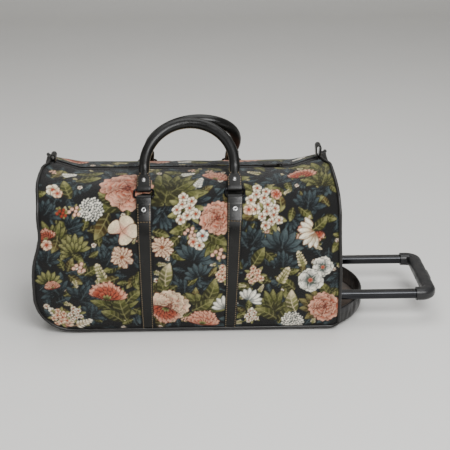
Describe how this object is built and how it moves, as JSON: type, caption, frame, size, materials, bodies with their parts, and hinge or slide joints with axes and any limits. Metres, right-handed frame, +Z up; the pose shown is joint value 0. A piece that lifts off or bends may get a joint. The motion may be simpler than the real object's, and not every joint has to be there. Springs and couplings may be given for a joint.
{
  "type": "wheeled carpet bag",
  "caption": "Soft tapestry travel bag with ring-hung carry handles, a zipped top, corner wheels and a telescopic trolley handle that stows in an end pouch.",
  "frame": {"origin": "on the floor under the middle of the base, on the centre runner's underside", "axes": "+X along the bag towards the trolley handle, -Y towards the front, +Z up"},
  "size_m": [0.758, 0.2758, 0.3817],
  "materials": {
    "tapestry": "woven tapestry with a floral pattern",
    "vinyl": "grained black vinyl",
    "strap_leather": "black leather with tan edge stitching",
    "zip_tape": "woven black zip tape",
    "zip_metal": "blackened metal",
    "ring_metal": "black lacquer",
    "rivet_metal": "polished",
    "tube_metal": "satin black",
    "outer_tube_metal": "mill finish",
    "grip_plastic": "moulded, soft sheen",
    "housing_plastic": "moulded, fine grain",
    "tyre": "matt",
    "hub_plastic": "moulded",
    "axle_steel": "drawn",
    "board": "hardboard with a dark face"
  },
  "bodies": {
    "bag": {"front_panel": "tapestry", "back_panel": "tapestry", "wheel_end_panel": "vinyl", "base_panel": "vinyl", "handle_end_panel": "vinyl", "front_piping": "vinyl", "back_piping": "vinyl", "handle_end_tab": "vinyl", "wheel_end_tab": "vinyl", "grip_pouch": "vinyl", "front_strap_left": "strap_leather", "front_strap_right": "strap_leather", "back_strap_left": "strap_leather", "back_strap_right": "strap_leather", "front_zip_tape": "zip_tape", "back_zip_tape": "zip_tape", "pouch_zip_tape": "zip_tape", "zip_chain": "zip_metal", "front_ring_left": "ring_metal", "front_ring_right": "ring_metal", "back_ring_left": "ring_metal", "back_ring_right": "ring_metal", "strap_rivets": "rivet_metal", "outer_tube_front": "outer_tube_metal", "outer_tube_back": "outer_tube_metal", "tube_bezel": "grip_plastic", "wheel_housing_front": "housing_plastic", "wheel_housing_back": "housing_plastic", "tube_brace": "housing_plastic", "base_runners": "housing_plastic", "wheel_axle_front": "axle_steel", "wheel_axle_back": "axle_steel", "base_board": "board"},
    "trolley": {"inner_tube_front": "tube_metal", "inner_tube_back": "tube_metal", "tube_bushes": "grip_plastic", "trolley_grip": "grip_plastic"},
    "button": {"release_button": "grip_plastic"},
    "wheel_front": {"wheel_hub_front": "hub_plastic", "wheel_tyre_front": "tyre"},
    "wheel_back": {"wheel_hub_back": "hub_plastic", "wheel_tyre_back": "tyre"},
    "handle_front": {"front_handle": "strap_leather", "front_handle_rivets": "rivet_metal"},
    "handle_back": {"back_handle": "strap_leather", "back_handle_rivets": "rivet_metal"},
    "slider": {"zip_slider": "zip_metal"},
    "pull": {"zip_pull": "zip_metal"}
  },
  "joints": [
    {"name": "trolley_slide", "type": "slide", "parent": "bag", "child": "trolley", "axis": [1, 0, 0], "range_m": [-0.145, 0.23]},
    {"name": "button_press", "type": "slide", "parent": "trolley", "child": "button", "axis": [-1, 0, 0], "range_m": [0, 0.003], "stiffness_N_per_m": 400},
    {"name": "front_wheel_spin", "type": "hinge", "parent": "bag", "child": "wheel_front", "pos_m": [-0.243, -0.08, 0.031], "axis": [0, 1, 0], "continuous": true},
    {"name": "back_wheel_spin", "type": "hinge", "parent": "bag", "child": "wheel_back", "pos_m": [-0.243, 0.08, 0.031], "axis": [0, 1, 0], "continuous": true},
    {"name": "front_handle_swing", "type": "hinge", "parent": "bag", "child": "handle_front", "pos_m": [0.0055, -0.09098, 0.27007], "axis": [1, 0, 0], "range_deg": [0, 136]},
    {"name": "back_handle_swing", "type": "hinge", "parent": "bag", "child": "handle_back", "pos_m": [0.0055, 0.09098, 0.27007], "axis": [-1, 0, 0], "range_deg": [0, 136]},
    {"name": "zip_slide", "type": "slide", "parent": "bag", "child": "slider", "axis": [-1, 0, 0], "range_m": [0, 0.346]},
    {"name": "pull_swing", "type": "hinge", "parent": "slider", "child": "pull", "pos_m": [0.176, 0, 0.28475], "axis": [0, 1, 0], "range_deg": [0, 150]}
  ]
}
